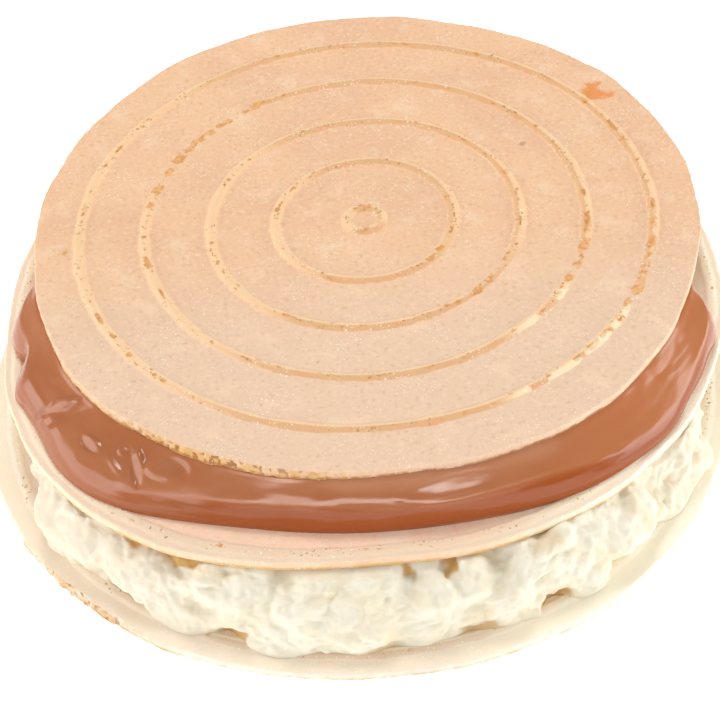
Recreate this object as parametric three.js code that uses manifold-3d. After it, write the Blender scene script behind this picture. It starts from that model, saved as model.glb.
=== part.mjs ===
// Filled wafer: three thin round baked wafers with raised ring ridges, stacked a little out of line,
// with caramel between the upper two and whipped cream between the lower two.
// Millimetres, +Z up. The origin is the centre of the base wafer's underside.
// Angles are in degrees about a piece's own centre: 0 is to the right and -90 is the front.
import * as THREE from "three";
import { mergeVertices } from "three/addons/utils/BufferGeometryUtils.js";
import Module from "manifold-3d";

const { clamp, degToRad, euclideanModulo, lerp, radToDeg } = THREE.MathUtils;
const wasm = await Module();
wasm.setup();

// Heights of the layers
const WAFER_THICKNESS = 1.8;
const CREAM_HEIGHT = 15.2;
const CARAMEL_HEIGHT = 9.2;
const CONTACT_GAP = 0.3;

// Levels, from the floor up
const MIDDLE_LEVEL = WAFER_THICKNESS + CREAM_HEIGHT;
const CARAMEL_LEVEL = MIDDLE_LEVEL + WAFER_THICKNESS;
const TOP_LEVEL = CARAMEL_LEVEL + CARAMEL_HEIGHT;

// Ring ridges on the upper faces of the wafers
const RING_PITCH = 13.2;
const RING_INSET = 4.7;
const HUB_RADIUS = 3.3;
const RIDGE_FOOT = 2.2;
const RIDGE_CREST = 1.0;
const RIDGE_HEIGHT = 0.7;
const EDGE_ROUND = 0.4;
const ringRadius = (ring) => RING_INSET + ring * RING_PITCH;

// How finely the round pieces are cut
const WAFER_SEGMENTS = 84;
const CARAMEL_SEGMENTS = 132;
const CREAM_SEGMENTS = 160;

// Outlines: a mean radius, pushed out or in by lobes that fade over their spread, with a slightly ragged rim
const RAGGED_WAVES = [9, 16, 25];
const BASE_WAFER = {
  centre: new THREE.Vector2(0, 0),
  radius: 75.2,
  ragged: 0.12,
  firmRadius: ringRadius(5) + RIDGE_FOOT,
  ridges: [ringRadius(5)],
  lobes: [
    { at: -143, spread: 18, out: 0.9 },
    { at: -53, spread: 15, out: 1.3 },
    { at: 65, spread: 20, out: 0.8 },
    { at: 130, spread: 12, out: -0.5 },
  ],
};
const MIDDLE_WAFER = {
  centre: new THREE.Vector2(1.3, 6.4),
  radius: 71.2,
  ragged: 0.12,
  firmRadius: 50,
  ridges: [69.2],
  lobes: [
    { at: -138, spread: 22, out: 3.2 },
    { at: -92, spread: 16, out: -2.2 },
    { at: -25, spread: 30, out: 1.6 },
    { at: 178, spread: 12, out: -1.0 },
    { at: 80, spread: 25, out: 1.1 },
  ],
};
const TOP_WAFER = {
  centre: new THREE.Vector2(3.9, 16.6),
  radius: 66.5,
  ragged: 0.15,
  firmRadius: ringRadius(4) + RIDGE_FOOT,
  ridges: [HUB_RADIUS, ringRadius(1), ringRadius(2), ringRadius(3), ringRadius(4)],
  lobes: [
    { at: -145, spread: 12, out: 1.5 },
    { at: -118, spread: 24, out: 4.6 },
    { at: -60, spread: 17, out: 3.6 },
    { at: 35, spread: 14, out: 0.6 },
    { at: 110, spread: 25, out: 1.7 },
  ],
};

// Stretches where a ridge of the top wafer has crumbled away
const CRUMBLED_RIDGES = [
  { ring: 1, at: -43, spread: 8, depth: 0.6 },
  { ring: 2, at: -43, spread: 9, depth: 0.9 },
  { ring: 3, at: 135, spread: 12, depth: 0.8 },
  { ring: 3, at: -28, spread: 10, depth: 0.5 },
  { ring: 4, at: -15, spread: 10, depth: 0.5 },
  { ring: 4, at: -52, spread: 8, depth: 0.6 },
  { ring: 4, at: -157, spread: 4, depth: 0.9 },
];

// Foot of the caramel, about the middle wafer's centre: two lobes on the left, a long one on the right
const CARAMEL_FOOT = {
  radius: 63,
  ragged: 0,
  lobes: [
    { at: -175, spread: 5, out: 5.5 },
    { at: -160, spread: 4, out: 2.3 },
    { at: -142, spread: 15, out: 9.3 },
    { at: -48, spread: 16, out: 7.0 },
    { at: -36, spread: 6, out: 3.0 },
    { at: -24, spread: 5, out: 5.0 },
    { at: -16, spread: 3.5, out: 6.0 },
    { at: 55, spread: 16, out: 3.0 },
    { at: 100, spread: 25, out: 4.5 },
  ],
};
const CARAMEL_SIDE = {
  steps: 6,
  fullness: 0.85,
  footLift: 0.12,
  footTuck: 0.08,
  rimInset: 0.5,
  leastRoll: 2.5,
};

// Foot of the cream, about the base wafer's centre
const CREAM_FOOT = {
  radius: 65.5,
  ragged: 0,
  lobes: [
    { at: -176, spread: 10, out: -2.5 },
    { at: -140, spread: 16, out: 3.4 },
    { at: -100, spread: 22, out: 3.4 },
    { at: -50, spread: 20, out: 4.8 },
    { at: -28, spread: 8, out: 1.6 },
    { at: 95, spread: 40, out: 2.0 },
  ],
};
const CREAM_SIDE = {
  steps: 9,
  fullness: 1.0,
  footLift: 0.1,
  footTuck: 0.05,
  rimInset: 2.5,
  leastRoll: 2.5,
};

// Rounded lumps all over the cream's side, with creases where they meet
const LUMPS = { columns: 46, rows: 3, smallest: 4.0, largest: 9.0, steepness: 0.42, seed: 11 };

// Hollows in the cream: level 1 is under the middle wafer's rim and level 0 is at the foot
const HOLLOWS = [
  { at: -127, level: 1, size: 4.0, depth: 3.0 },
  { at: -121, level: 1, size: 3.5, depth: 2.5 },
  { at: -105, level: 1, size: 3.0, depth: 2.0 },
  { at: -84, level: 1, size: 4.0, depth: 3.0 },
  { at: -78, level: 1, size: 3.0, depth: 2.5 },
  { at: -71, level: 1, size: 4.0, depth: 3.0 },
  { at: -38, level: 0.9, size: 8.0, depth: 4.0 },
  { at: -132, level: 0, size: 4.0, depth: 2.5 },
  { at: -114, level: 0, size: 4.5, depth: 2.0 },
  { at: -69, level: 0, size: 3.5, depth: 2.0 },
  { at: -62, level: 0, size: 4.0, depth: 2.0 },
  { at: -51, level: 0.1, size: 3.5, depth: 3.0 },
  { at: -42, level: 0, size: 5.0, depth: 2.5 },
];

const WAFER_FINISH = { color: "#f0caa4", roughness: 0.85, metalness: 0 };
const CARAMEL_FINISH = { color: "#b36f49", roughness: 0.25, metalness: 0 };
const CREAM_FINISH = { color: "#fbf3df", roughness: 0.6, metalness: 0 };

// The shortest turn between two angles
function turnBetween(from, to) {
  return euclideanModulo(to - from + 180, 360) - 180;
}

// Share of a lobe that is left at an angle
function fade(lobe, angle) {
  return Math.exp(-0.5 * (turnBetween(lobe.at, angle) / lobe.spread) ** 2);
}

function outline(shape, angle) {
  const lobes = shape.lobes.map((lobe) => lobe.out * fade(lobe, angle));
  const waves = RAGGED_WAVES.map((wave) => shape.ragged * Math.sin(degToRad(wave * (angle + wave))));
  return [...lobes, ...waves].reduce((radius, push) => radius + push, shape.radius);
}

// Distance from a point to a wafer's rim, along an angle, found by halving
function reachToRim(from, wafer, angle) {
  const ray = new THREE.Vector2(Math.cos(degToRad(angle)), Math.sin(degToRad(angle)));
  let inside = 0;
  let outside = 2 * wafer.radius;
  while (outside - inside > 0.01) {
    const reach = (inside + outside) / 2;
    const point = ray.clone().multiplyScalar(reach).add(from).sub(wafer.centre);
    if (point.length() < outline(wafer, radToDeg(point.angle()))) {
      inside = reach;
    } else {
      outside = reach;
    }
  }
  return inside;
}

// A closed solid of a geometry: shared corners merged, triangles without area left out
function solidOf(geometry) {
  geometry.deleteAttribute("normal");
  geometry.deleteAttribute("uv");
  const merged = mergeVertices(geometry);
  const corners = merged.index.array;
  const triangles = [];
  for (let i = 0; i < corners.length; i += 3) {
    const [a, b, c] = corners.slice(i, i + 3);
    if (a !== b && b !== c && c !== a) {
      triangles.push(a, b, c);
    }
  }
  const vertProperties = merged.attributes.position.array;
  const triVerts = new Uint32Array(triangles);
  return new wasm.Manifold(new wasm.Mesh({ numProp: 3, vertProperties, triVerts }));
}

function geometryOf(solid) {
  const { vertProperties, triVerts } = solid.getMesh();
  const geometry = new THREE.BufferGeometry();
  geometry.setAttribute("position", new THREE.BufferAttribute(vertProperties, 3));
  geometry.setIndex(new THREE.BufferAttribute(triVerts, 1));
  geometry.computeVertexNormals();
  return geometry;
}

function profileOf(corners) {
  return corners.map(([radius, height]) => new THREE.Vector2(radius, height));
}

// A turned solid whose points are then placed anew, from their radius, height and angle
function turned(corners, segments, place) {
  const geometry = new THREE.LatheGeometry(profileOf(corners), segments).rotateX(Math.PI / 2);
  const position = geometry.attributes.position;
  for (let i = 0; i < position.count; i += 1) {
    const flat = new THREE.Vector2(position.getX(i), position.getY(i));
    const turn = flat.angle();
    const { radius, height } = place(flat.length(), position.getZ(i), radToDeg(turn));
    position.setXYZ(i, radius * Math.cos(turn), radius * Math.sin(turn), height);
  }
  return solidOf(geometry);
}

// A wafer's turned radius, moved to its uneven outline outside the firm part
function toOutline(wafer, radius, angle) {
  const share = Math.max(0, radius - wafer.firmRadius) / (wafer.radius - wafer.firmRadius);
  return radius + share * (outline(wafer, angle) - wafer.radius);
}

// Section of a wafer from the middle of its underside, round the rim and over the ridges
function waferCorners(wafer) {
  const rim = wafer.radius;
  const crest = WAFER_THICKNESS + RIDGE_HEIGHT;
  const ridges = wafer.ridges.toReversed().flatMap((ridge) => [
    [ridge + RIDGE_FOOT / 2, WAFER_THICKNESS],
    [ridge + RIDGE_CREST / 2, crest],
    [ridge - RIDGE_CREST / 2, crest],
    [ridge - RIDGE_FOOT / 2, WAFER_THICKNESS],
  ]);
  return [
    [0, 0],
    [rim - EDGE_ROUND, 0],
    [rim, EDGE_ROUND],
    [rim, WAFER_THICKNESS - EDGE_ROUND],
    [rim - EDGE_ROUND, WAFER_THICKNESS],
    ...ridges,
    [0, WAFER_THICKNESS],
  ];
}

// Share of a ridge's height that is left where it has crumbled
function ridgeLeft(crumbled, radius, angle) {
  const ring = Math.round((radius - RING_INSET) / RING_PITCH);
  const stretches = crumbled.filter((stretch) => stretch.ring === ring);
  return stretches.reduce((left, stretch) => left * (1 - stretch.depth * fade(stretch, angle)), 1);
}

function waferSolid(wafer, crumbled = []) {
  return turned(waferCorners(wafer), WAFER_SEGMENTS, (radius, height, angle) => {
    const ridge = Math.max(0, height - WAFER_THICKNESS);
    const lost = ridge * (1 - ridgeLeft(crumbled, radius, angle));
    return { radius: toOutline(wafer, radius, angle), height: height - lost };
  });
}

// Room that a filling leaves for the ridge of the wafer below it, from the wafer's upper face
function ridgeRoom(wafer) {
  const [ridge] = wafer.ridges;
  const inner = ridge - RIDGE_FOOT / 2 - CONTACT_GAP;
  const outer = ridge + RIDGE_FOOT / 2 + CONTACT_GAP;
  const top = RIDGE_HEIGHT + CONTACT_GAP;
  const corners = [
    [inner, -top],
    [outer, -top],
    [outer, top],
    [inner, top],
    [inner, -top],
  ];
  return turned(corners, WAFER_SEGMENTS, (radius, height, angle) => ({
    radius: toOutline(wafer, radius, angle),
    height,
  }));
}

// Unit section of a filling: radius 0 on the axis, 1 at the shoulder and 2 at the foot
function fillingCorners(side) {
  const steps = Array.from({ length: side.steps + 1 }, (unused, step) => (step / side.steps) * (Math.PI / 2));
  const rounded = steps.map((turn) => [
    1 + Math.cos(turn) ** side.fullness,
    side.footLift + (1 - side.footLift) * Math.sin(turn) ** side.fullness,
  ]);
  return [[0, 0], [2 - side.footTuck, 0], ...rounded, [0, 1]];
}

// A filling that lies on one wafer and rolls out past the rim of the next, with relief on its side
function fillingSolid({ side, foot, under, over, thickness, segments, relief }) {
  return turned(fillingCorners(side), segments, (reach, share, angle) => {
    const edge = outline(foot, angle);
    const shoulder = Math.min(reachToRim(under.centre, over, angle) - side.rimInset, edge - side.leastRoll);
    const inner = Math.min(reach, 1);
    const outer = Math.max(reach - 1, 0);
    return {
      radius: inner * (shoulder + relief(angle, share)) + outer * (edge - shoulder),
      height: CONTACT_GAP + share * (thickness - 2 * CONTACT_GAP),
    };
  }).subtract(ridgeRoom(under));
}

function caramelSolid() {
  return fillingSolid({
    side: CARAMEL_SIDE,
    foot: CARAMEL_FOOT,
    under: MIDDLE_WAFER,
    over: TOP_WAFER,
    thickness: CARAMEL_HEIGHT,
    segments: CARAMEL_SEGMENTS,
    relief: () => 0,
  });
}

// Repeatable random numbers from 0 to 1
function randomFrom(seed) {
  let state = seed;
  return () => {
    state = (state * 16807) % 2147483647;
    return state / 2147483647;
  };
}

// Lumps in rows round the cream's side, each moved about within its own patch
function scatterLumps({ columns, rows, smallest, largest, steepness, seed }) {
  const random = randomFrom(seed);
  return Array.from({ length: columns * rows }, (unused, i) => {
    const at = (360 * ((i % columns) + random())) / columns;
    const level = (Math.floor(i / columns) + random()) / rows;
    const size = lerp(smallest, largest, random());
    return { at, level, size, depth: size * steepness };
  });
}

// Depth of a round lump or hollow at a spot on the cream's side
function moundDepth(mound, angle, share) {
  const across = degToRad(turnBetween(mound.at, angle)) * CREAM_FOOT.radius;
  const up = (share - mound.level) * CREAM_HEIGHT;
  return mound.depth * clamp(1 - (across ** 2 + up ** 2) / mound.size ** 2, 0, 1);
}

function deepest(mounds, angle, share) {
  return Math.max(...mounds.map((mound) => moundDepth(mound, angle, share)));
}

function creamSolid() {
  const lumps = scatterLumps(LUMPS);
  return fillingSolid({
    side: CREAM_SIDE,
    foot: CREAM_FOOT,
    under: BASE_WAFER,
    over: MIDDLE_WAFER,
    thickness: CREAM_HEIGHT,
    segments: CREAM_SEGMENTS,
    relief: (angle, share) => deepest(lumps, angle, share) - deepest(HOLLOWS, angle, share),
  });
}

function layer(name, solid, centre, level, finish) {
  const mesh = new THREE.Mesh(geometryOf(solid), new THREE.MeshStandardMaterial(finish));
  mesh.name = name;
  mesh.position.set(centre.x, centre.y, level);
  return mesh;
}

const filledWafer = new THREE.Group();
filledWafer.add(
  layer("wafer_base", waferSolid(BASE_WAFER), BASE_WAFER.centre, 0, WAFER_FINISH),
  layer("cream_filling", creamSolid(), BASE_WAFER.centre, WAFER_THICKNESS, CREAM_FINISH),
  layer("wafer_middle", waferSolid(MIDDLE_WAFER), MIDDLE_WAFER.centre, MIDDLE_LEVEL, WAFER_FINISH),
  layer("caramel_filling", caramelSolid(), MIDDLE_WAFER.centre, CARAMEL_LEVEL, CARAMEL_FINISH),
  layer("wafer_top", waferSolid(TOP_WAFER, CRUMBLED_RIDGES), TOP_WAFER.centre, TOP_LEVEL, WAFER_FINISH),
);

export default filledWafer;
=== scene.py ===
"""Filled wafer: ridged wafers with caramel and whipped cream between them, in soft studio light."""

import logging
import math
from abc import ABC, abstractmethod
from dataclasses import dataclass
from enum import Enum
from typing import Callable, Sequence

import bmesh
import bpy
import numpy as np
from mathutils import Matrix, Vector, noise
from mathutils.bvhtree import BVHTree


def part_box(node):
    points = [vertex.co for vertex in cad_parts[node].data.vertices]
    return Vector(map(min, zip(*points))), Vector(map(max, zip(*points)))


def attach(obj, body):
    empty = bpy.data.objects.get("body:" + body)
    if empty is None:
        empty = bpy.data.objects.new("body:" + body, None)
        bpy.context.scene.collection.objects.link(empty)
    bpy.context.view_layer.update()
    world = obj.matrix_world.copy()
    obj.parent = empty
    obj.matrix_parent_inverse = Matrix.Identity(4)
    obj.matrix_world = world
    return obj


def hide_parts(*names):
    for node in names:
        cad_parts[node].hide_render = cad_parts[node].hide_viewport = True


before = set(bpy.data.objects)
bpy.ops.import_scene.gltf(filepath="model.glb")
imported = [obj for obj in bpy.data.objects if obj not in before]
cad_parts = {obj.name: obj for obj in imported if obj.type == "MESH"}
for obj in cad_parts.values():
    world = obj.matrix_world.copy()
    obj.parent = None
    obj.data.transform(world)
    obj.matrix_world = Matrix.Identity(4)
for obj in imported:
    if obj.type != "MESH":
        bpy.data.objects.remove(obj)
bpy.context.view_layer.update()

LOG = logging.getLogger("filled_wafer")
MM = 0.001
BODY = "root"
RING_PITCH = 13.2 * MM
RING_INSET = 4.7 * MM
RIGHT, LEFT, FRONT = (1.0, 0.0, 0.0), (-1.0, 0.0, 0.0), (0.0, -1.0, 0.0)
UPWARDS = np.array((0.0, 0.0, 1.0))
CLOUD_SHIFT = np.array((1.0, 0.37, 1.9))
HEAP_SHIFT = np.array((1.0, 1.3, 0.6))
CREASE_SOFTNESS, HEAP_LEVEL = 0.1, 0.3
MERGE_DISTANCE = 1e-7

Colour = tuple[float, float, float, float]
Place = tuple[float, float, float]
Socket = bpy.types.NodeSocket
Grid = np.ndarray


def srgb(red: int, green: int, blue: int) -> Colour:
    """Gives the linear colour of a screen colour with parts of 0 to 255."""
    parts = (value / 255.0 for value in (red, green, blue))
    return (*(p / 12.92 if p <= 0.04045 else ((p + 0.055) / 1.055) ** 2.4 for p in parts), 1.0)


def ring(number: int) -> float:
    """Gives the radius of a ring ridge, counted from the hub."""
    return RING_INSET + number * RING_PITCH


def smooth(values: Grid, low: float, high: float) -> Grid:
    """Eases values from 0 at low to 1 at high."""
    share = np.clip((values - low) / (high - low), 0.0, 1.0)
    return share * share * (3.0 - 2.0 * share)


def heading(angle: float) -> Grid:
    """Gives the level direction of an angle in degrees."""
    return np.array((math.cos(math.radians(angle)), math.sin(math.radians(angle))))


def apart(angles: Grid, at: float) -> Grid:
    """Gives how far angles in radians are from an angle in degrees, in degrees."""
    return (np.degrees(angles) - at + 180.0) % 360.0 - 180.0


def polar(flat: Grid) -> tuple[Grid, Grid]:
    """Gives the distances of places from their centre, and their directions in radians."""
    return np.hypot(flat[..., 0], flat[..., 1]), np.arctan2(flat[..., 1], flat[..., 0])


def sampled(points: Grid, size: float, shift: Grid, look: Callable[[list], float]) -> Grid:
    """Looks up a random pattern at places, scaled to features of a size in metres and shifted."""
    flat = points.reshape(-1, 3) / size + shift
    return np.array([look(place) for place in flat.tolist()]).reshape(points.shape[:-1])


def clouds(points: Grid, size: float, octaves: int = 2, seed: float = 0.0) -> Grid:
    """Gives soft random values of about -1 to 1 at places, with features of a size and layers of finer detail."""
    return sampled(points, size, seed * CLOUD_SHIFT, lambda place: noise.fractal(place, 1.0, 2.0, octaves))


def heaps(points: Grid, size: float, seed: float) -> Grid:
    """Gives rounded heaps of a size with soft creases, from about -0.2 in a crease to 0.5 on a heap."""
    return np.hypot(sampled(points, size, seed * HEAP_SHIFT, noise.noise), CREASE_SOFTNESS) - HEAP_LEVEL


def bell(width: float) -> dict[int, float]:
    """Gives the weights of a blur by offset."""
    reach = int(3.0 * width) + 1
    return {s: math.exp(-0.5 * (s / width) ** 2) for s in range(-reach, reach + 1)}


def blurred(values: Grid, along: float, across: float = 0.0) -> Grid:
    """Softens values round a closed ring and, for a grid, across its rows.

    Args:
        values: Values by turn, or by turn and row.
        along: Width of the blur in turns.
        across: Width of the blur in rows.

    Returns:
        The softened values.
    """
    soft = values
    if along > 0.0:
        weights = bell(along)
        soft = sum(w * np.roll(soft, s, axis=0) for s, w in weights.items()) / sum(weights.values())
    if across > 0.0:
        weights, columns = bell(across), np.arange(soft.shape[1])
        parts = [w * soft[:, np.clip(columns + s, 0, columns[-1])] for s, w in weights.items()]
        soft = sum(parts) / sum(weights.values())
    return soft


def compass(count: int) -> tuple[Grid, Grid]:
    """Gives evenly spaced directions, as angles in radians and as level unit vectors."""
    angles = np.arange(count) * (math.tau / count)
    return angles, np.stack((np.cos(angles), np.sin(angles), np.zeros(count)), axis=-1)


def outward(points: Grid) -> Grid:
    """Gives the outward directions of a grid that runs round and then up.

    Args:
        points: Places by turn and row.

    Returns:
        Unit directions by turn and row.
    """
    round_it = np.roll(points, -1, axis=0) - np.roll(points, 1, axis=0)
    normal = np.cross(round_it, np.gradient(points, axis=1))
    return normal / np.maximum(np.linalg.norm(normal, axis=-1, keepdims=True), 1e-12)


@dataclass(frozen=True)
class Stretch:
    """A stretch round a wafer: its middle and spread in degrees, how strong and how abrupt it is."""

    at: float
    spread: float
    amount: float
    abrupt: int = 2

    def share(self, angles: Grid) -> Grid:
        """Gives the strength at angles in radians."""
        return self.amount * np.exp(-((apart(angles, self.at) / self.spread) ** self.abrupt))


def total(stretches: Sequence[Stretch], angles: Grid) -> Grid:
    """Adds up stretches at angles in radians."""
    return sum((stretch.share(angles) for stretch in stretches), np.zeros_like(angles))


class Turned:
    """A closed shape that is turned round an upright axis and then moved row by row."""

    def __init__(self, name: str, profile: Grid, steps: int, cuts: int) -> None:
        """Turns a profile.

        Args:
            name: Name of the piece.
            profile: Radius and height of each row, from the axis to the axis.
            steps: Steps of the turn.
            cuts: Further cuts in every step.
        """
        self.name = name
        self.count = steps * (cuts + 1)
        shape = bmesh.new()
        row = shape.verts.layers.float.new("row")
        line = []
        for index, (radius, height) in enumerate(profile.tolist()):
            vertex = shape.verts.new((radius, 0.0, height))
            vertex[row] = index
            line.append(vertex)
        edges = [shape.edges.new(pair) for pair in zip(line, line[1:])]
        bmesh.ops.spin(shape, geom=line + edges, cent=(0, 0, 0), axis=(0, 0, 1), angle=math.tau,
                       steps=steps, use_merge=True)
        bmesh.ops.remove_doubles(shape, verts=shape.verts, dist=MERGE_DISTANCE)
        hoops = [e for e in shape.edges if abs(e.verts[0][row] - e.verts[1][row]) < 0.5]
        bmesh.ops.subdivide_edges(shape, edges=hoops, cuts=cuts, use_grid_fill=True)
        bmesh.ops.recalc_face_normals(shape, faces=shape.faces)
        self.mesh = bpy.data.meshes.new(name)
        shape.to_mesh(self.mesh)
        shape.free()
        self._number()

    def _number(self) -> None:
        """Finds the row and the turn of every vertex."""
        count = len(self.mesh.vertices)
        places, rows = np.zeros(count * 3), np.zeros(count)
        self.mesh.vertices.foreach_get("co", places)
        self.mesh.attributes["row"].data.foreach_get("value", rows)
        angles = polar(places.reshape(-1, 3))[1] % math.tau
        self.row = np.rint(rows).astype(int)
        self.turn = np.rint(angles / math.tau * self.count).astype(int) % self.count
        self.mesh.attributes.remove(self.mesh.attributes["row"])

    def move(self, points: Grid) -> None:
        """Puts every vertex at its place in a grid, whose first and last rows are drawn together.

        Args:
            points: Places by turn and row.
        """
        for end in (0, -1):
            points[:, end] = points[:, end].mean(axis=0)
        self.mesh.vertices.foreach_set("co", points[self.turn, self.row].ravel())
        self.mesh.update()

    def paint(self, painted: dict[str, Grid]) -> None:
        """Stores values that the finish reads.

        Args:
            painted: Values by turn and row, under their names.
        """
        for name, values in painted.items():
            layer = self.mesh.attributes.new(name, "FLOAT", "POINT")
            layer.data.foreach_set("value", values[self.turn, self.row].astype(np.float32))

    def piece(self, node: str) -> bpy.types.Object:
        """Makes the smooth piece that stands for a solid.

        Args:
            node: Node of the solid.

        Returns:
            The piece.
        """
        self.mesh.shade_smooth()
        made = bpy.data.objects.new(self.name, self.mesh)
        bpy.context.scene.collection.objects.link(made)
        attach(made, BODY)
        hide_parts(node)
        return made


class Shader:
    """A node material that is put together step by step, with its colour laid on in coats."""

    def __init__(self, name: str, ground: Colour) -> None:
        """Starts a finish.

        Args:
            name: Name of the material.
            ground: Colour under all coats.
        """
        self.material = bpy.data.materials.new(name)
        self.material.use_nodes = True
        self.tree = self.material.node_tree
        self.surface = self.tree.nodes["Principled BSDF"]
        self.place = self.node("TexCoord", "Object", {})
        self.colour: Colour | Socket = ground

    def feed(self, socket: Socket, value: object) -> None:
        """Links a socket to another, or sets its value.

        Args:
            socket: The socket.
            value: The other socket, or the value.
        """
        if isinstance(value, Socket):
            self.tree.links.new(value, socket)
        else:
            socket.default_value = value

    def node(self, kind: str, output: str | int, inputs: dict, **settings: object) -> Socket:
        """Adds a node.

        Args:
            kind: Type of the node, after its common beginning.
            output: The output that is wanted.
            inputs: What its inputs get, by name or number.
            settings: Its settings.

        Returns:
            The output.
        """
        made = self.tree.nodes.new("ShaderNode" + kind)
        for name, value in settings.items():
            setattr(made, name, value)
        for name, value in inputs.items():
            self.feed(made.inputs[name], value)
        return made.outputs[output]

    def finished(self, **values: object) -> bpy.types.Material:
        """Gives the surface its coats and what its other sockets get.

        Args:
            values: What the sockets get, with _ for a space in their names.

        Returns:
            The material.
        """
        for name, value in {"Base_Color": self.colour, **values}.items():
            self.feed(self.surface.inputs[name.replace("_", " ")], value)
        return self.material

    def stretched(self, scale: Place) -> Socket:
        """Gives the place on the piece, scaled on each axis."""
        return self.node("Mapping", "Vector", {"Vector": self.place, "Scale": scale})

    def patches(self, size: float, detail: float = 2.0, place: Socket | None = None) -> Socket:
        """Gives soft random patches of 0 to 1, of a size in metres, at the place on the piece or another one."""
        return self.node("TexNoise", "Fac", {"Vector": place or self.place, "Scale": 1.0 / size, "Detail": detail})

    def measured(self, operation: str, other: Place) -> Socket:
        """Measures the place on the piece in metres: DOT_PRODUCT along a direction, DISTANCE from a place."""
        return self.node("VectorMath", "Value", {0: self.place, 1: other}, operation=operation)

    def along(self, way: Place) -> Socket:
        """Gives the distance along a direction, in metres."""
        return self.measured("DOT_PRODUCT", way)

    def painted(self, name: str) -> Socket:
        """Gives a value that the piece carries."""
        return self.node("Attribute", "Fac", {}, attribute_name=name)

    def span(self, value: Socket, low: float, high: float, start: float = 0.0, end: float = 1.0) -> Socket:
        """Eases a value, which gives start at low and end at high."""
        inputs = {"Value": value, "From Min": low, "From Max": high, "To Min": start, "To Max": end}
        return self.node("MapRange", "Result", inputs, interpolation_type="SMOOTHSTEP")

    def maths(self, operation: str, first: Socket, second: Socket) -> Socket:
        """Works out one value from two."""
        return self.node("Math", "Value", {0: first, 1: second}, operation=operation)

    def blend(self, share: Socket, first: Colour | Socket, second: Colour | Socket) -> Socket:
        """Blends a share of the second colour into the first."""
        return self.node("Mix", 2, {0: share, 6: first, 7: second}, data_type="RGBA")

    def tint(self, colour: Colour | Socket, share: Socket) -> None:
        """Lays a share of a colour over the coats so far."""
        self.colour = self.blend(share, self.colour, colour)

    def coat(self, colour: Colour | Socket, value: Socket, low: float, high: float, share: float = 1.0) -> None:
        """Lays a colour over the coats so far, from none where a value is low to a share where it is high."""
        self.tint(colour, self.span(value, low, high, 0.0, share))

    def near(self, spot: Place, size: float, wander: float) -> Socket:
        """Gives 1 at a spot, easing to 0 at its uneven edge.

        Args:
            spot: Middle of the spot in metres.
            size: Its radius in metres.
            wander: How far its edge wanders, as a share of the radius.

        Returns:
            The share of the spot.
        """
        uneven = self.span(self.patches(size), 0.2, 0.8, -wander * size, wander * size)
        away = self.maths("ADD", self.measured("DISTANCE", spot), uneven)
        return self.span(away, size * 1.1, size * 0.6)

    def relief(self, height: Socket, depth: float, strength: float, below: Socket | None = None) -> Socket:
        """Gives the directions of a surface with a relief of a depth in metres, which may lie on a coarser one."""
        inputs = {"Strength": strength, "Distance": depth, "Height": height}
        return self.node("Bump", "Normal", inputs if below is None else {**inputs, "Normal": below})


@dataclass(frozen=True)
class Spot:
    """A small browned or grey spot on a wafer, by angle in degrees, radius and size in metres."""

    at: float
    radius: float
    size: float
    colour: Colour
    wander: float = 0.5


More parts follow.
